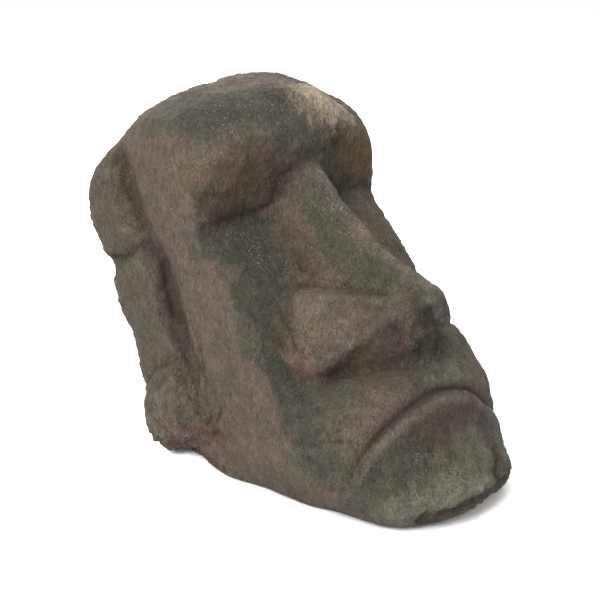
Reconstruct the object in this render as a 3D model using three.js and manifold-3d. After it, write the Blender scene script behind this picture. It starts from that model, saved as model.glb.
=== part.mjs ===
// A moai head: a stylised stone face with a long ear on each side, cut flat below so that it
// rests on the ground with the face leaning back and looking up.
//
// The stone is one solid. It is described in the head's own frame, where x runs across the
// face, n runs forward out of it and u runs up it, in hundredths of the head's length. The
// head is then leaned back, scaled to its real size and cut flat where it stands.
import * as THREE from "three";
import { mergeVertices } from "three/addons/utils/BufferGeometryUtils.js";
import Module from "manifold-3d";

// Driving dimensions, in millimetres and degrees.
const HEAD_LENGTH = 600; // chin to crown, along the face
const HEAD_WIDTH = 390; // across the ears
const HEAD_DEPTH = 420; // nose to back, straight through the head
const LEAN = 37; // how far the face leans back from upright
const BASE = 40.6; // how far the head's middle stands off the ground, in hundredths

// The head is carved by hand, so its left side, at positive x, is a little wider.
const LEFT = 0.965;

// How fine the solid is: cells across, from front to back, and up.
const CELLS = [34, 18, 44];

const sin = Math.sin(THREE.MathUtils.degToRad(LEAN));
const cos = Math.cos(THREE.MathUtils.degToRad(LEAN));

// A smooth curve through [place, value] pairs, level beyond its ends.
function curve(pairs) {
  const last = pairs.length - 1;
  const slope = pairs.map((_, i) => {
    const a = pairs[Math.max(i - 1, 0)];
    const b = pairs[Math.min(i + 1, last)];
    return i === 0 || i === last ? 0 : (b[1] - a[1]) / (b[0] - a[0]);
  });
  return (at) => {
    if (at <= pairs[0][0]) return pairs[0][1];
    if (at >= pairs[last][0]) return pairs[last][1];
    const i = pairs.findIndex((p) => p[0] > at) - 1;
    const [x0, y0] = pairs[i];
    const [x1, y1] = pairs[i + 1];
    const w = x1 - x0;
    const t = (at - x0) / w;
    const s = 1 - t;
    return (
      y0 * s * s * (1 + 2 * t) +
      y1 * t * t * (3 - 2 * t) +
      w * t * s * (slope[i] * s - slope[i + 1] * t)
    );
  };
}

// The larger of two values, with the crease between them rounded over a width.
function larger(a, b, width) {
  const h = Math.max(width - Math.abs(a - b), 0) / width;
  return Math.max(a, b) + (h * h * width) / 4;
}
const smaller = (a, b, width) => -larger(-a, -b, width);
const past = (t, width) => larger(t, 0, width); // zero before 0, then t
const step = (t) => THREE.MathUtils.smoothstep(t, 0, 1);
const band = (t, from, to, edge) =>
  step((t - from) / edge + 0.5) * step((to - t) / edge + 0.5);
const bell = (t) => Math.exp(-t * t);

// The forehead, and the brow's underside that slopes back from its edge to the eye sockets.
const foreheadHeight = curve([[24, 10.8], [32, 11], [40, 9.8], [49, 3.8]]);
const browEdge = (a) => 30.6 - 4.2 * (a / 26) ** 2;
const socketLine = (a) => 17.9 + 8.6 * bell(a / 6.5) - 1.6 * (a / 26) ** 4;
const socketHeight = (a) => -4.4 + 13 * bell(a / 9);
function forehead(x, u) {
  const a = Math.abs(x) * (x > 0 ? LEFT : 1);
  const edge = browEdge(a);
  const fall = 9 * (a / 26) ** 2.2;
  const atEdge = foreheadHeight(edge) - fall;
  const slope = (atEdge - socketHeight(a)) / (edge - socketLine(a));
  const worn = 2.2 * step((x - 8) / 12) * step((u - 33) / 10);
  return foreheadHeight(Math.max(u, 24)) - fall - worn - slope * past(edge - u, 4);
}

// The flat cheeks.
const cheekHeight = curve([[-56, -2], [-42, -1], [-25, 0.2], [-10, -1.2], [5, -2], [18, -2.8]]);
const cheek = (x, u) =>
  cheekHeight(u) - 1.4 * Math.abs(x / 25) ** 3 + 1.3 * step(x / 20) * bell(u / 13);

// The nose: a narrow bridge from the brow, and two broad wings under it.
const ridgeHeight = curve([
  [-22, 23.3], [-18, 24.8], [-13.8, 25], [-10.6, 23.8], [-6.6, 20.8], [-4, 18.8],
  [0, 16.6], [8, 13.6], [16, 11], [24, 9.6],
]);
const bridgeSlope = curve([[-16, 2], [0, 1.85], [8, 1.65], [16, 1.55], [24, 1.5]]);
function bridge(a, u) {
  const top = ridgeHeight(u) - bridgeSlope(u) * past(a - 0.6, 2);
  return top - 1.2 * past(u - 24, 4) - 1.2 * past(-19 - u, 2);
}
const wingTop = curve([[0, -12.5], [3, -12], [6, -10], [10, -6.4], [13, -4.2], [16, -4.6], [20, -8]]);
const wingFoot = curve([[0, -13.6], [4, -14.2], [9, -14.8], [12.4, -15.6], [16, -16.4], [20, -14]]);
const wingUndercut = curve([[0, 0.95], [4, 1.25], [8, 1.5], [15, 2.6]]);
function wing(a, u) {
  const wedge = 25.4 - 1.4 * past(a - 0.6, 2) - 2.5 * past(a - 18.5, 2);
  const top = 2 * past(u - wingTop(a), 2);
  const underside = wingUndercut(a) * past(wingFoot(a) - u, 1);
  return wedge - top - underside - 6 * past(-27 - u, 2);
}

// The mound of the mouth and chin, cut by the line of the mouth.
const muzzleHeight = curve([
  [-60, -3], [-57, 1], [-55.2, 5], [-53.4, 11], [-51.5, 13.2], [-49, 13], [-44, 12.6], [-38, 13.6],
  [-33, 15.7], [-30, 15.9], [-27, 15.4], [-25, 14.2], [-23, 11], [-20, 4.6], [-17, -0.6], [-12, -4],
]);
const muzzleWidth = curve([[-58, 17], [-50, 22], [-40, 25.5], [-28, 25], [-18, 24]]);
const mouthLine = curve([
  [-25, -41.5], [-22, -37.4], [-20, -35.2], [-17.8, -33.6], [-15.7, -32.6], [-11.2, -31.2], [-8, -30.6],
  [-4, -30.4], [0, -30.9], [3, -31.7], [6.6, -33.4], [10, -35.4], [16, -38.8], [22, -42],
]);
function muzzle(x, u) {
  const a = Math.abs(x);
  const fuller = step(x / 8); // the upper lip is fuller on the head's left
  const lip = 6.2 * fuller * step((u + 29) / 6);
  const chin = (x < 0 ? 1.9 * (x / 14) ** 2 : 0.8 * past(x / 8 - 1, 0.3) ** 2) * step((-44 - u) / 8);
  const mound = muzzleHeight(u - lip - chin) - 0.5 * fuller * bell((u + 26) / 6);
  const round = 14 * (a / muzzleWidth(u)) ** 2.6;
  return mound - round - 1.5 * bell((u - mouthLine(x)) / 2.8) * step((27 - a) / 4);
}

// The sides of the head, with the long ears raised on them behind a groove.
const sideWidth = curve([
  [-58, 16.5], [-52, 20], [-46, 22.8], [-40, 25.2], [-28, 27.2], [0, 26.6], [18, 26], [27, 26.6],
  [46, 26.6],
]);
const grooveLine = curve([
  [-15, -30.5], [-12, -29.3], [-5, -27], [2, -24.8], [9, -23], [18, -20.8], [30, -20.2], [44, -17.5],
]);
const earRise = curve([
  [-17, 2.4], [-12, 4], [-6, 4], [-1.5, 2.2], [6, 2], [14, 2.6], [22, 2.4], [25.5, 1.2],
  [29, 2.4], [36, 2.7], [46, 2],
]);
const offGround = (n, u) => n * sin + u * cos + BASE;
function side(n, u) {
  const plain = sideWidth(u) + 0.02 * past(-5 - n, 4);
  const behind = grooveLine(u) - n;
  const ear = earRise(u) * step(behind / 5) * band(u, -18.5, 48, 3);
  const groove = 1.1 * bell((behind + 1) / 3) * band(u, -15, 44, 4);
  const neck = 2.2 * step((-16 - u) / 6) * step((-30 - n) / 12);
  const tuck = 4 - 1.2 * step((-8 - n) / 6) - 2.2 * step((-21 - n) / 9);
  const jaw = tuck * step((10 - offGround(n, u)) / 13);
  return plain + ear - groove - neck - jaw;
}

// The back and the crown.
const backLine = curve([
  [-25, -39], [-20, -42.4], [-16, -45], [-7, -45.2], [-2, -43.8], [7, -41.6], [18, -40], [26, -37],
  [37, -35.6], [46, -33.6],
]);
const crownHeight = (x, n) => 51.5 - 0.0048 * x * x - 0.011 * Math.max(x - 8, 0) ** 2 - 0.0048 * (n + 13) ** 2;

// The distance from a carved height, about true close to it; below the height is negative.
const nudge = 0.05;
function above(height, s, t, at) {
  const h = height(s, t);
  const ds = (height(s + nudge, t) - h) / nudge;
  const dt = (height(s, t + nudge) - h) / nudge;
  return (at - h) / Math.sqrt(1 + ds * ds + dt * dt);
}

// Negative inside the stone and positive outside, by about the distance to its surface.
function stone(x, n, u) {
  const a = Math.abs(x) * (x > 0 ? LEFT : 1);
  const nose = smaller(above(bridge, a, u, n), above(wing, a, u, n), 2);
  let face = smaller(above(cheek, x, u, n), above(muzzle, x, u, n), 3);
  face = smaller(face, above(forehead, x, u, n), 2.5);
  face = smaller(face, nose, 2.4);
  const sides = above(side, n, u, a);
  const faceAndSides = larger(face, sides, 4);
  const withBack = larger(faceAndSides, (backLine(u) - n) * 0.98, 5);
  return larger(withBack, above(crownHeight, x, n, u), 6);
}

// Moves a point along the slope to the surface of the stone.
function land(q, steps) {
  for (let k = 0; k < steps; k++) {
    const f = stone(...q);
    const g = [0, 1, 2].map((j) => {
      const r = [...q];
      r[j] += nudge;
      return (stone(...r) - f) / nudge;
    });
    const gg = g[0] ** 2 + g[1] ** 2 + g[2] ** 2;
    const most = 3 / Math.sqrt(gg);
    const move = THREE.MathUtils.clamp(f / gg, -most, most);
    for (let j = 0; j < 3; j++) q[j] -= move * g[j];
  }
  return q;
}

// Wraps a box's skin round the stone: each vertex moves to the middle of its neighbours,
// which weigh more on the face and the tip of the nose, and then back along the slope to the
// surface.
function wrap(geometry, rounds) {
  const at = geometry.attributes.position;
  const near = Array.from({ length: at.count }, () => new Set());
  for (let i = 0; i < geometry.index.count; i += 3) {
    const t = [0, 1, 2].map((k) => geometry.index.getX(i + k));
    for (const a of t) for (const b of t) if (a !== b) near[a].add(b);
  }
  let p = Array.from({ length: at.count }, (_, i) => [at.getX(i), at.getY(i), at.getZ(i)]);
  const weight = ([x, n]) => (1 + 1.4 * step((n + 40) / 16)) * (1 + 1.5 * bell(x / 3) * step((n - 12) / 10));
  p = p.map((q) => land(q, 8));
  for (let round = 0; round < rounds; round++) {
    p = p.map((_, i) => {
      const sum = [0, 0, 0];
      let total = 0;
      for (const j of near[i]) {
        const w = weight(p[j]);
        total += w;
        for (let k = 0; k < 3; k++) sum[k] += w * p[j][k];
      }
      return land(sum.map((s) => s / total), round < rounds - 1 ? 1 : 5);
    });
  }
  p.forEach((q, i) => at.setXYZ(i, ...q));
  settle(geometry, p);
}

// Turns an edge between two faces where the other diagonal lies nearer to the surface.
function settle(geometry, p) {
  const faces = [];
  for (let i = 0; i < geometry.index.count; i += 3)
    faces.push([0, 1, 2].map((k) => geometry.index.getX(i + k)));
  const middle = (a, b) => [0, 1, 2].map((k) => (p[a][k] + p[b][k]) / 2);
  const off = (a, b) => Math.abs(stone(...middle(a, b)));
  for (let pass = 0; pass < 3; pass++) {
    const across = new Map();
    const turned = new Set();
    faces.forEach((face, f) => {
      for (let k = 0; k < 3; k++) {
        const [a, b] = [face[k], face[(k + 1) % 3]];
        across.set(`${a} ${b}`, f);
      }
    });
    for (const [key, f] of across) {
      const [a, b] = key.split(" ").map(Number);
      const g = across.get(`${b} ${a}`);
      if (a > b || turned.has(f) || turned.has(g)) continue;
      const c = faces[f].find((v) => v !== a && v !== b);
      const d = faces[g].find((v) => v !== a && v !== b);
      if (across.has(`${c} ${d}`) || across.has(`${d} ${c}`)) continue;
      if (off(c, d) > off(a, b) * 0.8 || !opens(p, a, b, c, d)) continue;
      faces[f] = [a, d, c];
      faces[g] = [d, b, c];
      turned.add(f).add(g);
    }
  }
  geometry.setIndex(faces.flat());
}

// True when the two faces keep a fair shape with the edge turned.
function opens(p, a, b, c, d) {
  const corner = (i) => new THREE.Vector3(...p[i]);
  const normal = (i, j, k) =>
    corner(j).sub(corner(i)).cross(corner(k).sub(corner(i)));
  const before = normal(a, b, c).normalize().add(normal(b, a, d).normalize());
  const one = normal(a, d, c);
  const two = normal(d, b, c);
  const size = normal(a, b, c).length() + normal(b, a, d).length();
  return Math.min(one.dot(before), two.dot(before)) > 0.12 * size * before.length();
}

function carvedHead() {
  const box = new THREE.BoxGeometry(50, 46, 100, ...CELLS);
  box.translate(0, -15, -6);
  box.deleteAttribute("normal");
  box.deleteAttribute("uv");
  const skin = mergeVertices(box);
  wrap(skin, 40);
  return skin;
}

// From the head's frame, leaned back and scaled, to the frame it stands in, with +y backwards.
const along = HEAD_LENGTH / 100;
const across = HEAD_WIDTH / 65;
const through = HEAD_DEPTH / 70;
const stand = new THREE.Matrix4().set(
  across, 0, 0, 0,
  0, -cos * through, sin * along, 0,
  0, sin * through, cos * along, BASE * along,
  0, 0, 0, 1,
);

const wasm = await Module();
wasm.setup();

function solid(geometry) {
  const g = geometry.clone();
  g.deleteAttribute("normal");
  g.deleteAttribute("uv");
  const merged = mergeVertices(g, 1e-4);
  return new wasm.Manifold(
    new wasm.Mesh({
      numProp: 3,
      vertProperties: merged.attributes.position.array,
      triVerts: new Uint32Array(merged.index.array),
    }),
  );
}

const skin = carvedHead();
skin.applyMatrix4(stand);
// The lean turns the skin inside out, so its faces are turned back.
for (let i = 0; i < skin.index.count; i += 3) {
  const b = skin.index.getX(i + 1);
  skin.index.setX(i + 1, skin.index.getX(i + 2));
  skin.index.setX(i + 2, b);
}
const ground = new THREE.BoxGeometry(3 * HEAD_LENGTH, 3 * HEAD_LENGTH, HEAD_LENGTH);
ground.translate(0, 0, -HEAD_LENGTH / 2);
const cut = solid(skin).subtract(solid(ground)).getMesh();

const head = new THREE.BufferGeometry();
head.setAttribute("position", new THREE.BufferAttribute(new Float32Array(cut.vertProperties), 3));
head.setIndex(new THREE.BufferAttribute(new Uint32Array(cut.triVerts), 1));

// The origin is on the ground, below the middle of the stone's bounding box.
head.computeBoundingBox();
const middle = head.boundingBox.getCenter(new THREE.Vector3());
head.translate(-middle.x, -middle.y, -head.boundingBox.min.z);
head.computeVertexNormals();

const material = new THREE.MeshStandardMaterial({ color: 0x5b5348, roughness: 0.9, metalness: 0 });
const mesh = new THREE.Mesh(head, material);
mesh.name = "moai_head";

const root = new THREE.Group();
root.add(mesh);
export default root;
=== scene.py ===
# A weathered stone moai head that rests on its cut underside, with its face leaning back.
#
# The stone is carved in the head's own frame, where x runs across the face, n runs forward
# out of it and u runs up it, in hundredths of the head's length.
import math

import bpy
import numpy as np
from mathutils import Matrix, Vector


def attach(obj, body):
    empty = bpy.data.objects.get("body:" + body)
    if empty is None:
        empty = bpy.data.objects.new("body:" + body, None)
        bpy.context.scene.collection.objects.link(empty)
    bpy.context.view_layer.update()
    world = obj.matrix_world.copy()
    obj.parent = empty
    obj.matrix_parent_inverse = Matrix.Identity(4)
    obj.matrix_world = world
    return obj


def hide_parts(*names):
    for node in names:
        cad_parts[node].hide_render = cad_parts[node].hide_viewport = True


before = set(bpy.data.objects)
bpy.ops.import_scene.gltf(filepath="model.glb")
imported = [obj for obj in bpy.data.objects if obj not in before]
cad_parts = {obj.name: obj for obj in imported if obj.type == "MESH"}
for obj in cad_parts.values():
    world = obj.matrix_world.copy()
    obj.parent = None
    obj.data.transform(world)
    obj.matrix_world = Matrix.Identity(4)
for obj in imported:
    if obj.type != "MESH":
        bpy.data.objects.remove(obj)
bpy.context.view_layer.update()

# The head's frame, as the solid has it.
HEAD_LENGTH = 0.6  # metres, chin to crown along the face
UNIT = HEAD_LENGTH / 100
LEAN = math.radians(37)
BASE = 40.6  # how far the head's middle stands off the ground, in hundredths
LEFT = 0.965  # the left side, at positive x, is a little wider
ORIGIN = (0.0034914, 0.0388012)  # where the part's origin lies from the head's middle, in x and y
SIN = math.sin(LEAN)
COS = math.cos(LEAN)

VOXEL = 0.00332  # metres, the size of the fine mesh's cells


def to_head(world):
    """Places in the head's frame, from places in metres on the ground."""
    x = (world[:, 0] + ORIGIN[0]) / UNIT
    y = (world[:, 1] + ORIGIN[1]) / UNIT
    z = world[:, 2] / UNIT - BASE
    return np.stack([x, z * SIN - y * COS, z * COS + y * SIN], axis=1)


def to_world(head):
    """Places in metres on the ground, from places in the head's frame."""
    x, n, u = head.T
    y = u * SIN - n * COS
    z = u * COS + n * SIN + BASE
    return np.stack([x * UNIT - ORIGIN[0], y * UNIT - ORIGIN[1], z * UNIT], axis=1)


# Plain shaping functions
def curve(*pairs):
    """A smooth curve through (place, value) pairs, level beyond its ends."""
    at, value = np.array(pairs, dtype=float).T
    slope = np.zeros(len(at))
    slope[1:-1] = (value[2:] - value[:-2]) / (at[2:] - at[:-2])

    def f(t):
        t = np.clip(t, at[0], at[-1])
        i = np.clip(np.searchsorted(at, t, side="right") - 1, 0, len(at) - 2)
        w = at[i + 1] - at[i]
        k = (t - at[i]) / w
        s = 1 - k
        ends = value[i] * s * s * (1 + 2 * k) + value[i + 1] * k * k * (3 - 2 * k)
        return ends + w * k * s * (slope[i] * s - slope[i + 1] * k)

    return f


def larger(a, b, width):
    """The larger of two values, rounded over a width where they meet."""
    h = np.maximum(width - np.abs(a - b), 0) / width
    return np.maximum(a, b) + h * h * width / 4


def smaller(a, b, width):
    return -larger(-a, -b, width)


def past(t, width):
    """How far t is past 0, with a rounded corner."""
    return larger(t, 0.0, width)


def step(t):
    """A smooth rise from 0 at 0 to 1 at 1."""
    t = np.clip(t, 0, 1)
    return t * t * (3 - 2 * t)


def band(t, low, high, edge):
    """1 between two places and 0 outside them, over a soft edge."""
    return step((t - low) / edge + 0.5) * step((high - t) / edge + 0.5)


def bell(t):
    """1 at 0, falling to about a third at 1."""
    return np.exp(-t * t)


# The carved form
def half(x):
    """How far out on its own side a place is; the left side is a little wider."""
    return np.abs(x) * np.where(x > 0, LEFT, 1)


forehead_height = curve((24, 10.8), (32, 11), (40, 9.8), (49, 3.8))


def forehead(x, u):
    a = half(x)
    edge = 30.6 - 4.2 * (a / 26) ** 2
    socket = 17.9 + 8.6 * bell(a / 6.5) - 1.6 * (a / 26) ** 4
    depth = -4.4 + 13 * bell(a / 9)
    fall = 9 * (a / 26) ** 2.2
    slope = (forehead_height(edge) - fall - depth) / (edge - socket)
    worn = 2.2 * step((x - 8) / 12) * step((u - 33) / 10)
    return forehead_height(np.maximum(u, 24)) - fall - worn - slope * past(edge - u, 3.2)


cheek_height = curve((-56, -2), (-42, -1), (-25, 0.2), (-10, -1.2), (5, -2), (18, -2.8))


def cheek(x, u):
    return cheek_height(u) - 1.4 * np.abs(x / 25) ** 3 + 1.3 * step(x / 20) * bell(u / 13)


# The nose has a narrow bridge, and two broad wings under it.
ridge_height = curve(
    (-22, 23.3), (-18, 24.8), (-13.8, 25), (-10.6, 23.8), (-6.6, 20.8), (-4, 18.8),
    (0, 16.6), (8, 13.6), (16, 11), (24, 9.6),
)
bridge_slope = curve((-16, 2), (0, 1.85), (8, 1.65), (16, 1.55), (24, 1.5))
wing_top = curve((0, -12.5), (3, -12), (6, -10), (10, -6.4), (13, -4.2), (16, -4.6), (20, -8))
wing_foot = curve((0, -13.6), (4, -14.2), (9, -14.8), (12.4, -15.6), (16, -16.4), (20, -14))
wing_undercut = curve((0, 0.95), (4, 1.25), (8, 1.5), (15, 2.6))


def bridge(a, u):
    top = ridge_height(u) - bridge_slope(u) * past(a - 0.6, 2)
    return top - 1.2 * past(u - 24, 4) - 1.2 * past(-19 - u, 2)


def wing(a, u):
    wedge = 25.4 - 1.4 * past(a - 0.6, 2) - 2.5 * past(a - 18.5, 2)
    underside = wing_undercut(a) * past(wing_foot(a) - u, 1)
    return wedge - 2 * past(u - wing_top(a), 1.6) - underside - 6 * past(-27 - u, 2)


# The mound of the mouth and chin.
muzzle_height = curve(
    (-60, -3), (-57, 1), (-55.2, 5), (-53.4, 11), (-51.5, 13.2), (-49, 13), (-44, 12.6),
    (-38, 13.6), (-33, 15.7), (-30, 15.9), (-27, 15.4), (-25, 14.2), (-23, 11), (-20, 4.6),
    (-17, -0.6), (-12, -4),
)
muzzle_width = curve((-58, 17), (-50, 22), (-40, 25.5), (-28, 25), (-18, 24))
mouth_line = curve(
    (-25, -41.5), (-22, -37.4), (-20, -35.2), (-17.8, -33.6), (-15.7, -32.6), (-11.2, -31.2),
    (-8, -30.6), (-4, -30.4), (0, -30.9), (3, -31.7), (6.6, -33.4), (10, -35.4), (16, -38.8),
    (22, -42),
)


def muzzle(x, u):
    fuller = step(x / 8)
    lip = 6.2 * fuller * step((u + 29) / 6)
    right_chin = 1.9 * (x / 14) ** 2
    left_chin = 0.8 * past(x / 8 - 1, 0.3) ** 2
    chin = np.where(x < 0, right_chin, left_chin) * step((-44 - u) / 8)
    mound = muzzle_height(u - lip - chin) - 0.5 * fuller * bell((u + 26) / 6)
    return mound - 14 * (np.abs(x) / muzzle_width(u)) ** 2.6 - mouth(x, u)


def mouth(x, u):
    """A thin cut with a soft hollow above it and a rounded lip below it."""
    off = u - mouth_line(x)
    cut = 1.1 * bell(off / 0.75) + 0.55 * bell((off - 1.3) / 1.3) - 0.4 * bell((off + 2) / 1.1)
    return cut * step((24.5 - np.abs(x)) / 6)


# The sides, with the long ears raised on them behind a groove.
side_width = curve(
    (-58, 16.5), (-52, 20), (-46, 22.8), (-40, 25.2), (-28, 27.2), (0, 26.6), (18, 26),
    (27, 26.6), (46, 26.6),
)
groove_line = curve(
    (-15, -30.5), (-12, -29.3), (-5, -27), (2, -24.8), (9, -23), (18, -20.8), (30, -20.2),
    (44, -17.5),
)
ear_rise = curve(
    (-17, 2.4), (-12, 4), (-6, 4), (-1.5, 2.2), (6, 2), (14, 2.6), (22, 2.4), (25.5, 1.2),
    (29, 2.4), (36, 2.7), (46, 2),
)


def off_ground(n, u):
    return n * SIN + u * COS + BASE


def side(n, u):
    plain = side_width(u) + 0.02 * past(-5 - n, 4)
    behind = groove_line(u) - n
    ear = ear_rise(u) * step(behind / 4.4) * band(u, -18.5, 48, 2.6)
    dip = 1.1 * bell((behind + 1) / 2.4) + 0.35 * bell(behind / 0.8)
    groove = dip * band(u, -15, 44, 4)
    neck = 2.2 * step((-16 - u) / 6) * step((-30 - n) / 12)
    tuck = 4 - 1.2 * step((-8 - n) / 6) - 2.2 * step((-21 - n) / 9)
    jaw = tuck * step((10 - off_ground(n, u)) / 13)
    return plain + ear - groove - neck - jaw


back_line = curve(
    (-25, -39), (-20, -42.4), (-16, -45), (-7, -45.2), (-2, -43.8), (7, -41.6), (18, -40),
    (26, -37), (37, -35.6), (46, -33.6),
)


def crown(x, n):
    right = 51.5 - 0.0048 * x * x - 0.0048 * (n + 13) ** 2
    return right - 0.011 * np.maximum(x - 8, 0) ** 2


NUDGE = 0.04  # the step that slopes are measured over
LEAST_SLOPE = 0.05  # squared, so that no point is thrown far where the form is flat


def above(height, s, t, at):
    """About the distance above a carved height."""
    h = height(s, t)
    ds = (height(s + NUDGE, t) - h) / NUDGE
    dt = (height(s, t + NUDGE) - h) / NUDGE
    return (at - h) / np.sqrt(1 + ds * ds + dt * dt)


def stone(p):
    """Negative inside the stone and positive outside, by about the distance."""
    x, n, u = p.T
    a = half(x)
    nose = smaller(above(bridge, a, u, n), above(wing, a, u, n), 1.4)
    face = smaller(above(cheek, x, u, n), above(muzzle, x, u, n), 2.5)
    face = smaller(face, above(forehead, x, u, n), 1.6)
    face = smaller(face, nose, 1.4)
    head = larger(face, above(side, n, u, a), 3.4)
    head = larger(head, (back_line(u) - n) * 0.98, 4.5)
    head = larger(head, above(crown, x, n, u), 6)
    return larger(head, -off_ground(n, u), 1.6)


def stone_and_slope(p):
    """The stone's value at each point, and its slope along each axis."""
    value = stone(p)
    slope = np.empty_like(p)
    for j in range(3):
        nudged = p.copy()
        nudged[:, j] += NUDGE
        slope[:, j] = (stone(nudged) - value) / NUDGE
    return value, slope


def land(p, rounds, most=1.5):
    """Moves points along the slope to the surface of the stone."""
    for _ in range(rounds):
        value, slope = stone_and_slope(p)
        squared = np.maximum((slope * slope).sum(1), LEAST_SLOPE)
        longest = most / np.sqrt(squared)
        move = np.clip(value / squared, -longest, longest)
        p = p - slope * move[:, None]
    return p


# Noise, the same on every run
table = np.random.default_rng(11)
SHUFFLE = table.permutation(256)
LEANS = table.normal(size=(256, 3))
LEANS /= np.linalg.norm(LEANS, axis=1)[:, None]
PLACES = table.random((256, 4))


def pick(cell):
    """A row of the noise tables for each cell, as if by chance."""
    i = SHUFFLE[cell[:, 0] & 255]
    i = SHUFFLE[(i + cell[:, 1]) & 255]
    return SHUFFLE[(i + cell[:, 2]) & 255]


def noise(p, seed=0):
    """Smooth noise of about -1 to 1, one lump to a unit."""
    p = p + seed * 17.31
    cell = np.floor(p).astype(int)
    f = p - cell
    w = f * f * f * (f * (f * 6 - 15) + 10)
    total = np.zeros(len(p))
    for k in range(8):
        c = np.array([k & 1, k >> 1 & 1, k >> 2 & 1])
        share = np.where(c, w, 1 - w).prod(1)
        total += share * (LEANS[pick(cell + c)] * (f - c)).sum(1)
    return total * 1.6


def layers(p, count, seed=0, fade=0.5):
    """Noise in layers, each twice as fine as the last and weaker by the fade."""
    total = np.zeros(len(p))
    strength = 1.0
    for k in range(count):
        total += strength * noise(p * 2.0**k, seed + k)
        strength *= fade
    return total


def pits(p, chance, seed=0):
    """1 in the middle of small round pits, fading to 0; each unit cell has one by chance."""
    p = p + seed * 11.7
    cell = np.floor(p).astype(int)
    best = np.zeros(len(p))
    for dx in (-1, 0, 1):
        for dy in (-1, 0, 1):
            for dz in (-1, 0, 1):
                c = cell + (dx, dy, dz)
                place = PLACES[pick(c)]
                there = place[:, 3] < chance
                radius = 0.2 + 0.35 * place[:, 3] / max(chance, 1e-6)
                gap = np.linalg.norm(c + place[:, :3] - p, axis=1) / radius
                best = np.maximum(best, there * step(1 - gap))
    return best


# The fine mesh
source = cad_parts["moai_head"]
mesh = source.data.copy()
head = bpy.data.objects.new("stone_head", mesh)
bpy.context.scene.collection.objects.link(head)
head.matrix_world = source.matrix_world.copy()
remesh = head.modifiers.new("fine", "REMESH")
remesh.mode = "VOXEL"
remesh.voxel_size = VOXEL
remesh.adaptivity = 0
depsgraph = bpy.context.evaluated_depsgraph_get()
fine = bpy.data.meshes.new_from_object(head.evaluated_get(depsgraph))
head.modifiers.clear()
head.data = fine
fine.name = "stone_head"
bpy.data.meshes.remove(mesh)

count = len(fine.vertices)
coords = np.empty(count * 3)
fine.vertices.foreach_get("co", coords)
p = to_head(coords.reshape(-1, 3))
edges = np.empty(len(fine.edges) * 2, dtype=int)
fine.edges.foreach_get("vertices", edges)
edges = edges.reshape(-1, 2)
degree = np.bincount(edges.ravel(), minlength=count).astype(float)


def spread(values):
    """The mean of each vertex's neighbours."""
    total = np.zeros_like(values)
    if values.ndim == 1:
        total += np.bincount(edges[:, 0], values[edges[:, 1]], count)
        total += np.bincount(edges[:, 1], values[edges[:, 0]], count)
        return total / degree
    for j in range(values.shape[1]):
        total[:, j] += np.bincount(edges[:, 0], values[edges[:, 1], j], count)
        total[:, j] += np.bincount(edges[:, 1], values[edges[:, 0], j], count)
    return total / degree[:, None]


# The vertices land on the carved form, and are spread evenly over it.
p = land(p, 3)
for _ in range(6):
    p = land(0.4 * p + 0.6 * spread(p), 1)
p = land(p, 3)
_, out = stone_and_slope(p)
out /= np.linalg.norm(out, axis=1)[:, None]
x, n, u = p.T
height = off_ground(n, u)

# These two make edges and lines uneven.
lump = noise(p / 3.1, 40)
ripple = noise(p / 1.1, 43)

FAR_OFF = 99.0  # the distance given to vertices out of reach
STRIDE = 1.2  # how far apart a line's places are laid on the stone
LEFT_SHIFT = (0, 1.2, 1.8)  # keeps the left side's marks from copying the right side's


def away(points, reach, mirrored=False):
    """Each vertex's distance from a line through some places, laid on the stone."""
    points = np.array(points, dtype=float)
    if mirrored:
        points = points * (-1 / LEFT, 1, 1) + LEFT_SHIFT
    lengths = np.linalg.norm(np.diff(points, axis=0), axis=1)
    far = np.concatenate([[0], np.cumsum(lengths)])
    places = np.linspace(0, far[-1], max(2, int(far[-1] / STRIDE) + 1))
    line = np.stack([np.interp(places, far, points[:, j]) for j in range(3)], axis=1)
    line = land(line, 5)
    box = ((p > line.min(0) - reach) & (p < line.max(0) + reach)).all(1)
    q = p[box]
    best = np.full(len(q), FAR_OFF)
    for start, end in zip(line[:-1], line[1:]):
        leg = end - start
        t = np.clip((q - start) @ leg / max(leg @ leg, 1e-9), 0, 1)
        best = np.minimum(best, np.linalg.norm(q - start - t[:, None] * leg, axis=1))
    whole = np.full(count, FAR_OFF)
    whole[box] = best
    return whole


def patch(points, radius, uneven=0.35, mirrored=False, crisp=1.0):
    """1 on a line of places, fading unevenly to 0 at a radius."""
    size = radius * (1 + uneven * lump + 0.2 * ripple)
    return step(crisp * (1.12 - away(points, 2 * radius, mirrored) / size))


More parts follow.
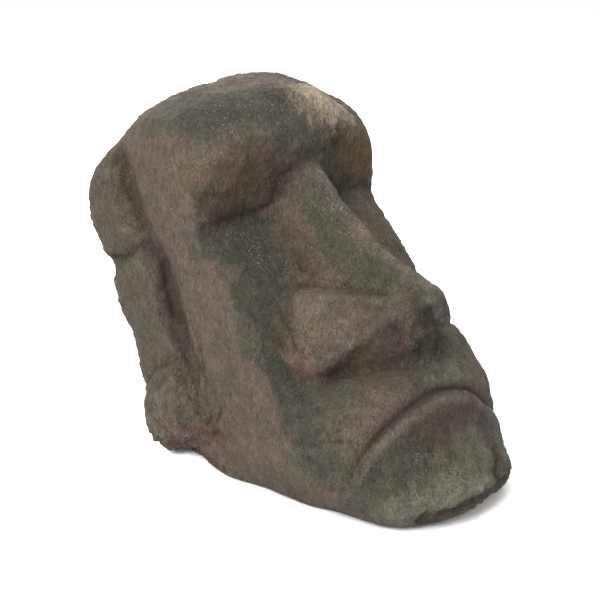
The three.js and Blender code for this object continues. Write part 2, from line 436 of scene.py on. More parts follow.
# Lines cut into the stone: half-width, depth and places. A depth below zero is a ridge.
SIDE_CUTS = [
    (0.9, 0.9, [
        (-28.5, -33, 26.5), (-28, -30, 25), (-28, -26.5, 25), (-27.5, -23.5, 25), (-26, -21.5, 24.5),
    ]),
    (0.6, 0.4, [(-25.5, -21, 18), (-26, -22, 15), (-27, -23.5, 14)]),
    (0.6, 0.35, [(-26, -23.5, 10), (-27, -25, 6.5), (-27, -26, 3)]),
    (1.3, -0.45, [(-27.5, -23.5, 18), (-28, -25, 12.5), (-28.5, -26.5, 8.5), (-27.5, -27.5, 2)]),
    (0.6, 0.5, [(-30, -39.5, -2), (-29.5, -37, -0.4), (-29.5, -33.5, 0), (-29, -29.5, -0.8)]),
    (0.7, -0.45, [
        (-30, -39.5, -3.4), (-29.5, -37, -1.9), (-29.5, -33.5, -1.4), (-29, -29.5, -2.2),
    ]),
    (1.0, 0.35, [(-30.5, -37, -4.2), (-30, -34, -3.6), (-29.5, -30, -4)]),
    (0.6, -0.3, [(-31.5, -38.5, -7), (-31.5, -35, -5.8), (-31, -31, -5.8)]),
    (0.5, 0.45, [(-27, -22.5, -2.5), (-26.5, -24, -5), (-26, -27, -7.5), (-26, -28.5, -9.5)]),
    (0.55, 0.7, [(-27, -20, -1.5), (-27, -21, -5.5), (-27, -23.5, -9), (-27.5, -25, -12)]),
    (0.45, 0.8, [(-27.5, -27.5, -16), (-27.5, -24.5, -15)]),
    (0.45, 0.7, [(-27.5, -23.5, -16.5), (-27.5, -20.5, -15)]),
    (0.6, 0.8, [(-27.5, -27, -18.7), (-27.5, -24.5, -18.7)]),
    (1.0, 0.8, [(-30, -38.5, -17.5), (-29, -34, -18.5), (-28, -30.5, -20)]),
    (0.5, 0.35, [(-26, -21.5, 16), (-26.5, -24.5, 6), (-27, -26, -2), (-27.5, -27, -8)]),
    (0.5, 0.3, [(-26, -19, 14), (-26.5, -21.5, 4), (-27, -23, -6)]),
    (1.3, 0.4, [(-26, -18, 45), (-26.5, -19, 38), (-26, -20, 30), (-25.5, -20, 21)]),
    (0.9, 0.7, [(-25.5, -20.5, 19), (-26, -23, 11), (-26, -24, 1), (-27, -22, -8)]),
    (0.6, 0.5, [(-26.5, -34.5, -24), (-27, -32, -26), (-27.5, -30, -27)]),
]
FACE_CUTS = [
    (0.8, 0.42, [
        (-25.5, -5, 18.5), (-25, -3, 19.5), (-21.5, -2.5, 19.5), (-17, -2.5, 19.5), (-12, -1, 19.5),
    ]),
    (0.75, 0.48, [
        (-12, -1, 19.5), (-9, 0.5, 19.5), (-8, 2.5, 21.5), (-7, 5, 23.5), (-4, 6.5, 24.5),
    ]),
    (0.75, 0.5, [
        (26, -4, 18.5), (22, -2, 19.5), (17.5, -2, 19.5), (12.5, -1, 19.5), (9.3, 0.5, 20), (8, 3, 22),
    ]),
    (0.4, 0.22, [(-15.5, 0.5, 22), (-15, -1, 20.5), (-15, -2.5, 18.5)]),
    (0.6, 0.35, [(-25, -4, 18.5), (-25.5, -5.5, 16.5), (-26, -6.5, 14)]),
    (1.1, 0.35, [
        (-9, 0.5, 19.5), (-8.5, -0.5, 15.5), (-8.5, -0.5, 11.5), (-9, 0.5, 4.5), (-9, 1, 1.5),
    ]),
    (0.35, 0.6, [(-9, 0, 6), (-9, 0, 4.4)]),
    (0.6, 0.4, [
        (-14, -1, 0), (-10.5, -1, 1), (-9, 0.5, 0.5), (-8, 3.5, -1.5), (-6.5, 7, -3.5), (-5, 15.5, -8.5),
    ]),
    (0.5, 0.35, [(-16.5, -2, -1.5), (-18, -1.5, -4), (-18, -0.5, -7.5), (-18.5, -1, -11)]),
    (0.6, 0.5, [(-1.5, 23.5, -14.5), (-2, 22.5, -15.5), (-3, 20.5, -16.5), (-4.5, 18, -17)]),
    (0.7, 0.5, [(-6.5, 15.5, -15.5), (-5.5, 15, -17.5), (-6, 13.5, -19)]),
    (0.6, 0.4, [(-3.5, 14.5, -22), (-3, 16.5, -21), (-2.5, 19, -20)]),
    (1.0, 0.6, [(-2, 21.5, -18), (-1, 20, -20.5), (-0.5, 16, -24.5)]),
    (0.6, 0.2, [
        (-16, 0, -18), (-12.5, 2, -20), (-11, 3.5, -19.5), (-8, 7.5, -21), (-4.5, 12.5, -24),
    ]),
    (0.7, 0.7, [(8.5, 11.5, -46), (7, 12.5, -48.5), (4, 13, -50.5), (5, 12.5, -52.5)]),
    (0.8, 0.5, [(-11, 9, -52), (-6.5, 11, -52.5), (-2.5, 12, -52.5), (2, 12, -53), (6, 12, -52.5)]),
    (0.7, 0.6, [(-13.5, 8.5, -50.5), (-14, 5.5, -51.5)]),
    (0.35, -0.2, [(-20.5, 4, 41), (-17.5, 5.5, 41)]),
    (0.5, 0.35, [(-27, -3.5, -27.5), (-26, 0, -29.5), (-24.5, 2.5, -30), (-21.5, 6.5, -32)]),
    (0.9, 0.35, [(-25, -2.5, -13), (-26, -2, -22), (-27, -3, -27), (-25.5, -0.5, -35)]),
]

# Heights of the relief all over the stone: broad swells, lumps and brush marks.
SWELL_HEIGHT = 0.32
LUMP_HEIGHT = 0.2
BRUSH_HEIGHT = 0.17

CUT_REACH = 4
THIN = 1  # cuts narrower than this get a thin line of painted shade
NO_SHADE_LINE = 9.0
LEFT_DEPTH = 0.7  # the hidden left side's cuts are softer

swirled = p + 1.2 * np.stack([noise(p / 4, seed) for seed in (71, 72, 73)], axis=1)
brushed = noise(swirled / (0.9, 0.9, 2.6), 74) + 0.6 * noise(swirled / (0.6, 0.6, 1.5), 75)
lift = SWELL_HEIGHT * layers(p / 9, 2, 1)
lift += LUMP_HEIGHT * layers(p / 2.6, 2, 4)
lift += BRUSH_HEIGHT * brushed
# The thin cuts are also kept, for the shade painted in them.
crack_shade = np.zeros(count)
shade_line_gap = np.full(count, NO_SHADE_LINE)
for width, depth, places in SIDE_CUTS + FACE_CUTS:
    near = away(places, CUT_REACH) * (1 + 0.25 * ripple)
    cut = depth * bell(near / width)
    lift -= cut
    if width < THIN and depth > 0:
        crack_shade = np.maximum(crack_shade, np.clip(cut, 0, 1))
        shade_line_gap = np.minimum(shade_line_gap, near / depth)
for width, depth, places in SIDE_CUTS:
    near = away(places, CUT_REACH, mirrored=True) * (1 + 0.3 * ripple)
    lift -= LEFT_DEPTH * depth * bell(near / width)

# Rough and broken places
LOBE = [(-31, -41, -15), (-29, -37, -18), (-27, -36, -22), (-27, -30, -27)]
LOBE_SIDE = [(-30, -38, -8), (-30, -34, -12), (-28, -28, -14)]
EAR_BACK = [(-28, -35, 40), (-29, -39, 28), (-30, -41, 14), (-31, -43, 0), (-31, -44, -12)]
TAN = [(-2, 10, 40), (3, 10.5, 36.5), (5.5, 10.5, 33), (11, 9.5, 32)]
BROW = [(-7.5, 9, 29), (-2, 9.5, 29), (3, 9.5, 29), (8, 9, 29.5)]
FAR_SOCKET = [(13.5, 5.5, 26), (18.5, 5, 27), (20, 1.5, 23.5), (16.5, 1, 22.5), (12, 4, 24.5)]
FAR_CHEEK = [(23, -2, 12), (24.5, -2.5, 6), (25, -2, 0)]
CHIN = [(-15, 10, -41), (-8, 12.5, -44), (-2, 13, -48), (-9, 12, -49)]
CHIN_END = [(-6, 10, -54), (2, 12, -53), (8, 12, -53), (13, 9, -51), (16, 7, -47)]
BROW_END = [(-24, 0, 24)]
LOBE_CORNER = [(-31, -41.5, -12), (-31, -42, -15)]
RING_DENT = [(-27, -9.5, -4)]
RING_RADIUS = 0.9
WING_BUMP = [(-12.5, 5, -17.5)]

# Each rough place: the height of its roughness, its radius and the places it lies along.
RAGGED_ON_BOTH_SIDES = [(1.2, 5, LOBE), (0.9, 6, LOBE_SIDE), (0.5, 5, EAR_BACK)]
RAGGED = [(0.5, 2.2, BROW), (0.7, 5, CHIN_END)]
CHISELLED = [(0.9, 7, TAN), (0.45, 9, CHIN), (0.45, 7, FAR_SOCKET), (0.4, 6, FAR_CHEEK)]

ragged = np.abs(layers(p / 2.2, 3, 21)) - 0.35
chiselled = np.abs(layers(p * (1, 1, 0.45) / 1.1, 2, 24)) - 0.3
for strength, radius, places in RAGGED_ON_BOTH_SIDES:
    on_both = np.maximum(patch(places, radius), patch(places, radius, mirrored=True))
    lift += strength * ragged * on_both
for strength, radius, places in RAGGED:
    lift += strength * ragged * patch(places, radius)
for strength, radius, places in CHISELLED:
    lift += strength * chiselled * patch(places, radius)
lift -= 0.5 * patch(BROW_END, 3)
lift += 0.9 * patch(LOBE_CORNER, 5, uneven=0.1)
lift -= 0.35 * bell((away(RING_DENT, 3) - RING_RADIUS) / 0.45)
lift += 0.3 * bell(away(WING_BUMP, 4) / 1.4)
rear_foot = step((6 - height) / 5) * step((-10 - n) / 20)
lift += 0.35 * ragged * rear_foot
rear = step((-out[:, 1] - 0.2) / 0.5)
lift += 0.35 * layers(p / 5, 2, 30) * rear
lift -= 0.5 * pits(p / 1.3, 0.05, 7) * step(lump + 0.3)

# The relief fades out above the cut underside, which stays flat.
FADE_START = 0.4
FADE_HEIGHT = 1.6
lift *= step((height - FADE_START) / FADE_HEIGHT)
base = p
p = p + out * lift[:, None]
world = to_world(p)
world[:, 2] = np.maximum(world[:, 2], 0)
fine.vertices.foreach_set("co", world.ravel())
fine.update()
fine.polygons.foreach_set("use_smooth", np.ones(len(fine.polygons), dtype=bool))

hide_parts("moai_head")
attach(head, "root")


# The washes of colour in the stone, with painted shade in its creases and undersides and a few painted
# highlights
DAYLIGHT = 0.372  # how dark the pigments are, so that they look as named in the studio light


def shade(red, green, blue):
    """A linear colour from a shown one, 0 to 255."""
    c = np.array([red, green, blue]) / 255
    return DAYLIGHT * np.where(c < 0.04045, c / 12.92, ((c + 0.055) / 1.055) ** 2.4)


TAUPE = shade(118, 103, 86)
GREEN = shade(92, 89, 74)
DARK_GREEN = shade(70, 70, 56)
PALE_GREEN = shade(134, 133, 112)
PALE = shade(138, 124, 106)
OLIVE = shade(97, 89, 71)
BROWN = shade(83, 68, 54)
# A purple tint, laid as painted shade in the eye sockets' creases, under the brow, by the nose's wing and
# in the ear's groove.
PURPLE_SHADE = shade(80, 63, 55)
PINK = shade(138, 113, 95)
OCHRE = shade(112, 90, 58)
# A pale tan for the forehead's pitted top, made paler still as a painted highlight.
TAN_WITH_HIGHLIGHT = shade(212, 190, 160)
RUBBED = shade(176, 166, 150)
# A maroon tint, laid as painted shade under the ear lobe.
MAROON_SHADE = shade(112, 82, 76)
# A dark brown laid only as painted shade: in hollows, cracks, undersides, the mouth's cut and near the
# ground.
PAINTED_SHADE = shade(46, 38, 28)

# Along the chin's underside edge, which is painted in shade.
CHIN_EDGE = [
    (-13, 7, -52.5), (-10, 9.5, -53.5), (-6, 11, -54), (0, 12, -54.5), (6, 12, -54), (12, 10, -52),
]

# Each wash: its pigment, strength, radius and the places it lies along. Some, marked below, are painted
# shade, and one is partly a painted highlight.
WASHES_AND_SHADES = [
    (GREEN, 1.0, 8, [
        (-23.5, 1.5, 41), (-16.5, 5, 42), (-10.5, 8.5, 40.5), (-10.5, 9.5, 36), (-17.5, 7, 36),
    ]),
    (DARK_GREEN, 0.45, 4.5, [(-20, 5, 40), (-12, 8, 41), (-6, 10, 38), (-3, 10.5, 33)]),
    (TAUPE, 0.8, 4.5, [
        (-26.5, -11.5, 38), (-26.5, -2.5, 36), (-25, 1, 32), (-22, 4.5, 29), (-14, 8, 30),
    ]),
    (GREEN, 1.0, 6, [
        (-22, -3.5, 17), (-14, -3, 15.5), (-15.5, -2.5, 10), (-20, -3, 3.5), (-22, -2.5, -7),
    ]),
    (DARK_GREEN, 0.6, 5.5, [
        (-21, -3.5, 16), (-16, -3, 13), (-17, -2.5, 6), (-20.5, -2.5, -3), (-22, -2.5, -8),
    ]),
    (DARK_GREEN, 0.9, 3, [
        (-22.5, -2.5, -8.5), (-23, -2, -14), (-24, -1.5, -19), (-25.5, -1, -25), (-25.5, 0, -29),
    ]),
    (DARK_GREEN, 0.6, 4, [(-25.5, 0, -29), (-25, 0, -34), (-22, 3, -39)]),
    (GREEN, 0.9, 6, [(-25, 0, -33), (-22, 3, -41), (-18, 6, -46), (-14, 8, -50)]),
    (GREEN, 0.8, 4.5, [(-3, 7, 16), (-4.5, 7.5, 7), (-4.5, 9, -0.5), (-3, 14, -5)]),
    (GREEN, 0.6, 3.5, [(-9, 8, -6), (-5, 16, -10), (-3, 20, -12)]),
    (GREEN, 0.7, 4, [
        (-2, 14.5, -25.5), (-7, 14, -26.5), (-12, 11, -25), (-17, 6, -24), (-22, 0, -20),
    ]),
    (BROWN, 0.95, 6, [
        (-9, 13, -37), (-2, 14.5, -36.5), (6, 13.5, -38.5), (0, 13, -41), (-8, 12, -42),
    ]),
    (DARK_GREEN, 0.6, 3.5, [(-20, 6, -38), (-18, 8, -39.5), (-14, 11, -39.5), (-13, 11, -44)]),
    (PALE_GREEN, 0.45, 7.5, [(1, 12.5, -46), (-3, 12.5, -48), (-1, 13.5, -50), (-8.5, 12, -48.5)]),
    (PALE_GREEN, 0.8, 4.5, [(-3, 12.5, -49.5), (-6, 12, -50), (-11.5, 10.5, -50)]),
    (PALE_GREEN, 0.6, 4, [(-9, 11.5, -49.5), (-13, 10, -49.5), (-17, 7, -48.5)]),
    (GREEN, 0.55, 5, [(-15, 10, -42), (-16, 8.5, -45), (-15, 8.5, -48)]),
    (PALE_GREEN, 0.5, 4, [(-18.5, 5, -49), (-14, 8, -50)]),
    (BROWN, 0.8, 2.4, [(9, 11.5, -45), (7.5, 12.5, -48.5), (5, 13, -50.5), (7, 12.5, -52)]),
    # The chin's underside edge: brown and dark painted shade.
    (BROWN, 1.0, 2.2, CHIN_EDGE),
    (PAINTED_SHADE, 0.3, 1.6, CHIN_EDGE),
    (OCHRE, 0.45, 5, [(-22, 2, 25), (-18, 3.5, 25.5), (-13, 4, 25), (-10.5, 2.5, 22.5)]),
    (BROWN, 0.25, 5, [(-22, 0, 23), (-17, 2.5, 24), (-12, 3, 23.5)]),
    (PINK, 0.5, 2, [(-11.5, 7.5, 30)]),
    (BROWN, 0.45, 2.6, [(-20, 5.5, 28.5), (-13.5, 8, 28.5), (-8, 9, 28.5)]),
    (DARK_GREEN, 0.7, 2.6, [(-24.5, 1, 25), (-24, -0.5, 22)]),
    # The eye socket's crease and the brow's underside: a purple tint with painted shade, darkest under the
    # brow's middle.
    (PURPLE_SHADE, 0.8, 2, [
        (-25, -4, 19), (-21.5, -2, 20), (-17, -2, 20), (-12, 0, 20), (-9, 1.5, 20.5), (-8, 3, 22),
    ]),
    (PURPLE_SHADE, 0.9, 2.4, [
        (-8, 3, 22), (-6.5, 5.5, 24.5), (-2, 8, 26.5), (3.5, 8.5, 27.5), (8, 8.5, 28.5),
    ]),
    (PAINTED_SHADE, 0.45, 2.6, [(1, 8.5, 27), (4, 8.5, 27.5), (8, 8.5, 28)]),
    (BROWN, 0.4, 5, [(23, -2, 12), (24.5, -2.5, 6), (25, -2, 0)]),
    (GREEN, 0.55, 4.5, [(-4, 9.5, 39), (-1.5, 11, 35), (0.5, 11, 31)]),
    (OCHRE, 0.9, 5, FAR_SOCKET),
    # The pale tan patch on the forehead's top, partly its own colour and partly a painted highlight.
    (TAN_WITH_HIGHLIGHT, 0.4, 6, [(5, 10.5, 37), (6.5, 10.5, 35), (9, 10, 33)]),
    (TAN_WITH_HIGHLIGHT, 0.85, 5.5, [(9, 9.5, 38.5), (11, 9.5, 36), (13, 9, 34), (15, 8.5, 33)]),
    (OCHRE, 0.9, 4, [
        (13, 8, 28), (17.5, 5.5, 27.5), (20.5, 2.5, 24.5), (16.5, 2, 23.5), (20.5, 0, 22),
    ]),
    (BROWN, 0.5, 2.5, [(3, 10, 28.5), (8, 9.5, 28), (11, 7, 26)]),
    # The far socket's crease and inner corner: a purple tint with painted shade.
    (PURPLE_SHADE, 0.6, 2, [(26, -4, 19), (22, -2, 20), (17.5, -2, 20), (12.5, 0, 20), (9.3, 1.5, 20.5)]),
    (PAINTED_SHADE, 0.6, 3.5, [(6.5, 6.5, 25), (8.5, 3.5, 22.5), (13, -0.5, 20)]),
    (PALE, 0.4, 6, [(20, -3, 15), (20, -2.5, 4), (20, -2, -6)]),
    (PALE, 0.8, 1.3, [
        (-30, -39.5, -3.4), (-29.5, -37, -1.9), (-29.5, -33.5, -1.4), (-29, -29.5, -2.2),
    ]),
    (PINK, 0.45, 4, [(-11, 3, 46.5), (-5.5, 4, 46.5), (2, 4, 46.5)]),
    (PINK, 0.8, 2.6, [(-18.5, -1, -11), (-18, -0.5, -14), (-16.5, 0, -16)]),
    (PINK, 0.3, 3, [(-9, 4, -1.5), (-12, 1, -1), (-17, -1, -5)]),
    (PINK, 0.3, 2.5, [(-8, 3, 14), (-7, 4, 10)]),
    (BROWN, 0.45, 3.4, [(-8, 0.5, 11), (-8, 1, 7), (-8, 2, 3.5)]),
    # Brown painted shade under the nose's wing.
    (BROWN, 0.3, 3.5, [(-13, 4, -18.5), (-9, 9.5, -18.5), (-5, 15.5, -18), (-3, 19, -17)]),
    (OLIVE, 0.7, 3, [(-4, 21.5, -12), (-3, 23, -13.5), (-1, 24.5, -14)]),
    (DARK_GREEN, 0.7, 2.6, [(-3.5, 22.5, -13), (-2, 23.5, -14), (0, 24.5, -14.5)]),
    # Painted shade under the nose's tip.
    (DARK_GREEN, 1.0, 5, [(-1.5, 22.5, -17), (-1.5, 20, -20), (-1.5, 17.5, -22.5)]),
    (PAINTED_SHADE, 0.95, 3.8, [
        (-1, 22, -17.5), (0, 20.5, -19.5), (-2.5, 19.5, -19.5), (-1.5, 17.5, -22.5),
    ]),
    (PALE_GREEN, 0.35, 3, [(1.5, 15, -25.5), (-2, 15, -26), (3, 15.5, -28)]),
    # A purple tint with painted shade in the crease beside the nose's wing.
    (PURPLE_SHADE, 0.7, 2, [(-6.5, 15.5, -15.5), (-6, 13.5, -19)]),
    (PALE, 0.55, 4.5, [(-10, 3, -5), (-14, 3, -8), (-12.5, 6, -10.5)]),
    (OLIVE, 0.5, 4.5, [(-8.5, 12, -7.5), (-8, 14.5, -11), (-6.5, 16, -15)]),
    (TAUPE, 0.7, 3.6, [(-10, 13.5, -28), (-17, 9.5, -29), (-21, 5.5, -33)]),
    (GREEN, 0.6, 4, [(-25, -0.5, -23), (-24, 3, -28), (-25.5, 1, -30)]),
    (OLIVE, 0.8, 7, [
        (-28, -22, 40), (-28, -29, 37), (-28, -32, 28), (-28, -30, 10), (-28, -33, 0),
    ]),
    # The ear's front groove: purple and dark green tints with painted shade.
    (PURPLE_SHADE, 0.45, 2.4, [(-26, -18, 44), (-26, -19, 34), (-25.5, -20, 22), (-26, -23, 8)]),
    (DARK_GREEN, 0.6, 2.4, [(-26, -22, 12), (-26, -24, 4), (-26.5, -23.5, -4)]),
    (PALE, 0.5, 6, [(-29, -36, -12), (-29, -32, -10), (-29, -38, -8)]),
    (OLIVE, 0.5, 4, [(-27, -23, -9), (-27.5, -25, -13), (-27.5, -24, -17)]),
    # A maroon tint with painted shade under the ear lobe.
    (MAROON_SHADE, 0.9, 3.4, [
        (-29.5, -38, -17.5), (-29, -34, -18), (-28, -31, -19.5), (-27.5, -27, -20),
    ]),
    (PINK, 0.6, 3.4, [(-28, -33, -20.5), (-27.5, -31, -23), (-27, -29.5, -26)]),
    (DARK_GREEN, 0.5, 1.2, [(-30.5, -35, -4), (-30, -32, -3.8)]),
]
LIPS = [
    (-22, 4, -39.5), (-19, 8.5, -36.5), (-15, 12, -34.5), (-10, 14.5, -33), (-4, 15, -32.5), (2, 15, -33.5),
]
MOUTH = [(x, 14 - x * x / 60, mouth_line(x)) for x in range(-22, 14, 3)]
# The nose wing's top edge, where a pale pink highlight is painted.
HAIRLINE = [
    (-14, -1, 0), (-10.5, -1, 1), (-9, 0.5, 0.5), (-8, 3.5, -1.5), (-6.5, 7, -3.5), (-6, 11.5, -6.5),
]

# Where pale flecks are thick: a radius and the places they lie along.
SPECKLED = [
    (7, [(-16, 7, 38), (-8, 9.5, 38), (-3, 10.5, 35)]),
    (6, [(-18, -3, 16), (-14, -2.5, 8)]),
    (5, [(-12, 11.5, -41), (-5, 13, -48), (2, 13, -50)]),
    (6, [(-2, 9, 14), (-1, 12, 6)]),
]

RIGHT_SIDE = -15  # washes and painted shade that reach past this are laid on the left side too, and softer

facing = out[:, 1]
drift = layers(base / 8, 3, 50)
mist = layers(base / 2.4, 3, 55)
dapple = noise(base / 0.7, 58)
tint = layers(base / 3.4, 2, 66)
colour = np.tile(TAUPE, (count, 1))


def lay(pigment, weight):
    """Mixes a pigment into the colour of each vertex by its weight."""
    weight = np.clip(weight, 0, 1)[:, None]
    colour[:] = colour * (1 - weight) + pigment * weight


lay(GREEN, 0.4 * step((drift + 0.1) / 0.6))
lay(GREEN, 0.45 * step((facing - 0.5) / 0.3))
lay(OLIVE, 0.4 * step((layers(base / 11, 2, 60) - 0.1) / 0.4))
lay(PINK, 0.3 * step((layers(base / 6, 3, 63) - 0.2) / 0.4))
for pigment, strength, radius, places in WASHES_AND_SHADES:
    spot = patch(places, 1.12 * radius, uneven=0.45, crisp=2.1)
    lay(pigment, strength * spot * (1 + 0.45 * mist))
    if min(across for across, _, _ in places) < RIGHT_SIDE:
        spot = patch(places, 1.15 * radius, uneven=0.6, mirrored=True, crisp=1.6)
        lay(pigment, 0.8 * strength * spot * (1 + 0.6 * mist))
lay(PINK, 0.2 * step((tint - 0.1) / 0.5))
lay(DARK_GREEN, 0.25 * step((-tint - 0.15) / 0.5))
lay(PINK, 0.35 * bell(away(LIPS, 4) / 1.0))
over_lip = u - mouth_line(x)
near_lip = step((26 - np.abs(x)) / 8) * step((n - 0.5) / 3)
# Painted shade above the mouth's cut, under the upper lip, and a painted highlight on the lower lip's rim.
lay(BROWN, 0.5 * band(over_lip, 0, 1.8, 1.4) * near_lip)
lay(PALE, 0.4 * bell((over_lip + 2) / 1.2) * near_lip)
# Painted shade in the mouth's cut.
lay(PAINTED_SHADE, 0.45 * bell(away(MOUTH, 3) / 0.6) * step((23 - np.abs(x)) / 8))
# A pale pink painted highlight along the top edge of the nose's wing.
lay(PINK, 0.6 * bell(away(HAIRLINE, 3) / 0.4))

# Painted shade darkens the hollows, small and broad, the cracks and the stone near the ground, and edges
# are rubbed paler.
hollow = ((spread(p) - p) * out).sum(1)
wide = hollow.copy()
for _ in range(6):
    wide = spread(wide)
lay(PAINTED_SHADE, 0.45 * step((hollow - 0.03) / 0.16) + 0.4 * crack_shade)
# Broad hollows get a brown painted shade.
lay(BROWN, 0.4 * step((wide - 0.006) / 0.05))
lay(RUBBED, 0.26 * step((-wide - 0.008) / 0.05) * step(0.6 + mist))
# Painted shade near the ground.
lay(PAINTED_SHADE, 0.35 * step((2.5 - height + mist) / 3))
colour *= (1 + 0.1 * mist + 0.06 * drift + 0.05 * dapple)[:, None]
colour = np.clip(colour, 0.004, 0.8)

colour_and_shade = fine.color_attributes.new("colour_and_shade", "FLOAT_COLOR", "POINT")
colour_and_shade.data.foreach_set("color", np.column_stack([colour, np.ones(count)]).ravel())
density = 0.25 + 0.35 * step(drift)
for radius, places in SPECKLED:
    density = np.maximum(density, patch(places, radius, 0.5))
speckle = fine.attributes.new("speckle", "FLOAT", "POINT")
speckle.data.foreach_set("value", density)

# How far each vertex is from a thin cut or the mouth's cut, which the material draws as a thin line of
# painted shade.
lip = 0.56 * np.abs(over_lip - 0.1) + 1.4 * (1 - near_lip)
lip = np.where(near_lip > 0.5, lip, NO_SHADE_LINE)
shade_lines = fine.attributes.new("shade_lines", "FLOAT", "POINT")
shade_lines.data.foreach_set("value", np.minimum(shade_line_gap, lip))

# The stone
material = bpy.data.materials.new("weathered_stone")
material.use_nodes = True
tree = material.node_tree
shader = tree.nodes["Principled BSDF"]


def node(kind, *given, **settings):
    """A node with its inputs given in order as values or sockets; None leaves an input alone."""
    made = tree.nodes.new("ShaderNode" + kind)
    for key, value in settings.items():
        setattr(made, key, value)
    for socket, value in zip(made.inputs, given):
        if isinstance(value, bpy.types.NodeSocket):
            tree.links.new(value, socket)
        elif value is not None:
            socket.default_value = value
    return made


def texture(place, scale, detail, rough=0.5, twist=0.0):
    """Smooth noise, about 0.5 in its middle."""
    made = node("TexNoise", place)
    made.inputs["Scale"].default_value = scale
    made.inputs["Detail"].default_value = detail
    made.inputs["Roughness"].default_value = rough
    made.inputs["Distortion"].default_value = twist
    return made.outputs["Fac"]


def dots(place, scale, size):
    """1 inside small dots, one to a cell, and 0 between them."""
    made = node("TexVoronoi", place)
    made.inputs["Scale"].default_value = scale
    gap = made.outputs["Distance"]
    return node("MapRange", gap, size, size * 0.4, 0.0, 1.0).outputs[0]


def maths(operation, *given):
    """The result of one sum on values or sockets."""
    return node("Math", *given, operation=operation).outputs[0]


def squiggles(place, scale, twist, width):
    """1 along thin curling lines, and 0 between them."""
    value = texture(place, scale, 1, 0.5, twist)
    off_line = maths("ABSOLUTE", maths("SUBTRACT", value, 0.5))
    return node("MapRange", off_line, 0.0, width, 1.0, 0.0).outputs[0]


def centred(value, strength):
    """A value from 0 to 1 as a change up or down."""
    return maths("MULTIPLY_ADD", value, strength, -strength / 2)


def mixed(amount, below, above):
    """Two colours, each a socket or a value, mixed by an amount."""
    made = node("Mix", data_type="RGBA")
    tree.links.new(amount, made.inputs[0])
    for socket, value in ((made.inputs[6], below), (made.inputs[7], above)):
        if isinstance(value, bpy.types.NodeSocket):
            tree.links.new(value, socket)
        else:
            socket.default_value = value
    return made.outputs[2]


# The strokes follow places bent by a slow noise and stretched up the face.
SWAY = (0.035, 0.035, 0.035)
STRETCH = (1, 1, 0.25)
here = node("TexCoord").outputs["Object"]
wander = node("TexNoise", here)
wander.inputs["Scale"].default_value = 24
bent = node("VectorMath", wander.outputs["Color"], SWAY, here, operation="MULTIPLY_ADD")
leaned = node("Mapping", bent.outputs[0], None, (LEAN, 0, 0.3), STRETCH).outputs[0]
mottle = texture(here, 60, 4, 0.6)
grain = texture(here, 200, 3, 0.6)
sand = texture(here, 480, 2, 0.6)
strokes = texture(leaned, 400, 2, 0.5, 0.6)
broad_strokes = texture(leaned, 170, 2, 0.5, 0.6)
curls = squiggles(here, 150, 1.5, 0.04)
scores = squiggles(here, 120, 2.5, 0.035)
curled = node("MapRange", texture(here, 25, 3, 0.6), 0.45, 0.6, 0.0, 1.0).outputs[0]
curls = maths("MULTIPLY", curls, curled)

# The colour: the washes and the painted shade, made lighter and darker by the grain and the strokes.
total = maths("ADD", centred(mottle, 0.35), centred(grain, 0.5))
total = maths("ADD", total, centred(sand, 1.0))
total = maths("ADD", total, centred(strokes, 1.3))
total = maths("ADD", total, centred(broad_strokes, 0.6))
total = maths("ADD", total, maths("MULTIPLY", curls, 0.4))
total = maths("SUBTRACT", total, maths("MULTIPLY", scores, 0.25))
factor = maths("MAXIMUM", maths("ADD", total, 1.0), 0.2)
base_and_shade = node("Attribute", attribute_name="colour_and_shade").outputs["Color"]
tinted = node("VectorMath", base_and_shade, operation="SCALE")
tree.links.new(factor, tinted.inputs["Scale"])

# Pale flecks, thin lines of painted shade in the cuts, and pores.
FLECK = (0.27, 0.24, 0.195, 1)
CREASE_SHADE = (0.03, 0.022, 0.018, 1)
PORE = (0.03, 0.024, 0.018, 1)
scatter = node("Attribute", attribute_name="speckle").outputs["Fac"]
cluster = node("MapRange", texture(here, 45, 3, 0.7), 0.42, 0.6, 0.1, 1.0).outputs[0]
flecks = node("MapRange", texture(here, 500, 1), 0.62, 0.7, 0.0, 1.0).outputs[0]
specks = maths("MULTIPLY", flecks, maths("MULTIPLY", scatter, cluster))
speckled = mixed(maths("MULTIPLY", specks, 0.65), tinted.outputs[0], FLECK)
shade_line_distance = node("Attribute", attribute_name="shade_lines").outputs["Fac"]
off_shade_line = maths("ADD", shade_line_distance, centred(mottle, 1.6))
# A thin line of painted shade along the cuts and the mouth.
shade_line = node("MapRange", off_shade_line, 0.15, 0.6, 0.7, 0.0).outputs[0]
shade_lined = mixed(shade_line, speckled, CREASE_SHADE)
pores = maths("MULTIPLY", dots(here, 170, 0.16), 0.5)
pored = mixed(pores, shade_lined, PORE)
tree.links.new(pored, shader.inputs["Base Color"])

# The relief that is finer than the mesh.
bumps = maths("ADD", maths("MULTIPLY", grain, 0.6), maths("MULTIPLY", strokes, 0.35))
bumps = maths("ADD", bumps, maths("MULTIPLY", broad_strokes, 0.9))
bumps = maths("ADD", bumps, maths("MULTIPLY", sand, 0.2))
bumps = maths("SUBTRACT", bumps, maths("MULTIPLY", pores, 0.5))
bumps = maths("ADD", bumps, maths("MULTIPLY", curls, 0.2))
bumps = maths("SUBTRACT", bumps, maths("MULTIPLY", scores, 0.25))
relief = node("Bump")
relief.inputs["Strength"].default_value = 0.8
relief.inputs["Distance"].default_value = 0.004  # metres
tree.links.new(bumps, relief.inputs["Height"])
tree.links.new(relief.outputs[0], shader.inputs["Normal"])
shader.inputs["Roughness"].default_value = 0.88
shader.inputs["Specular IOR Level"].default_value = 0.3
head.data.materials.clear()
head.data.materials.append(material)

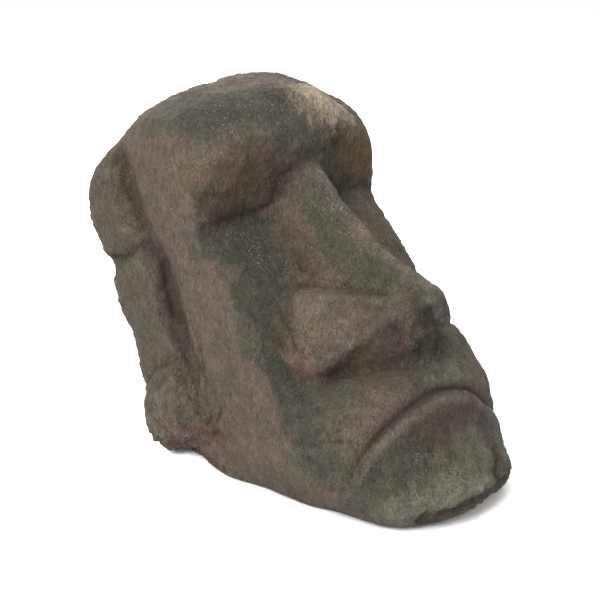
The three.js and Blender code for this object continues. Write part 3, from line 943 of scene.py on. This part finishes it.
# Camera, floor and light
AZIMUTH = math.radians(-44.1)
ELEVATION = math.radians(20.7)
DISTANCE = 1.3  # metres
TARGET = Vector((-0.0524874, -0.0177972, 0.2216))
toward_camera = Vector((
    math.sin(AZIMUTH) * math.cos(ELEVATION),
    -math.cos(AZIMUTH) * math.cos(ELEVATION),
    math.sin(ELEVATION),
))
lens = bpy.data.cameras.new("camera")
lens.lens = 61.02
lens.sensor_width = 36
camera = bpy.data.objects.new("camera", lens)
camera.location = TARGET + toward_camera * DISTANCE
camera.rotation_euler = toward_camera.to_track_quat("Z", "Y").to_euler()
bpy.context.scene.collection.objects.link(camera)
bpy.context.scene.camera = camera

SPAN = 20  # metres from the middle of the floor to its edges
floor_mesh = bpy.data.meshes.new("floor")
floor_mesh.from_pydata(
    [(-SPAN, -SPAN, 0), (SPAN, -SPAN, 0), (SPAN, SPAN, 0), (-SPAN, SPAN, 0)], [], [(0, 1, 2, 3)]
)
floor = bpy.data.objects.new("floor", floor_mesh)
bpy.context.scene.collection.objects.link(floor)
pale = bpy.data.materials.new("pale_floor")
pale.use_nodes = True
floor_shader = pale.node_tree.nodes["Principled BSDF"]
floor_shader.inputs["Base Color"].default_value = (0.96, 0.96, 0.96, 1)
floor_shader.inputs["Roughness"].default_value = 0.9
floor_mesh.materials.append(pale)


MIDDLE = Vector((0, 0, 0.22))  # where every lamp aims


def lamp(name, place, size, power):
    """A soft square lamp, its place and size in metres and its power in watts."""
    data = bpy.data.lights.new(name, "AREA")
    data.size = size
    data.energy = power
    obj = bpy.data.objects.new(name, data)
    obj.location = place
    obj.rotation_euler = (Vector(place) - MIDDLE).to_track_quat("Z", "Y").to_euler()
    bpy.context.scene.collection.objects.link(obj)


lamp("key", (-2.3, -0.3, 2.3), 1.5, 120)
lamp("top", (0.5, -0.3, 3.0), 1.6, 45)
lamp("back", (1.4, 2.6, 1.9), 1.8, 90)
world_light = bpy.data.worlds.new("studio")
world_light.use_nodes = True
background = world_light.node_tree.nodes["Background"]
background.inputs["Color"].default_value = (1, 1, 1, 1)
background.inputs["Strength"].default_value = 1.0
bpy.context.scene.world = world_light
bpy.context.scene.view_settings.view_transform = "Standard"
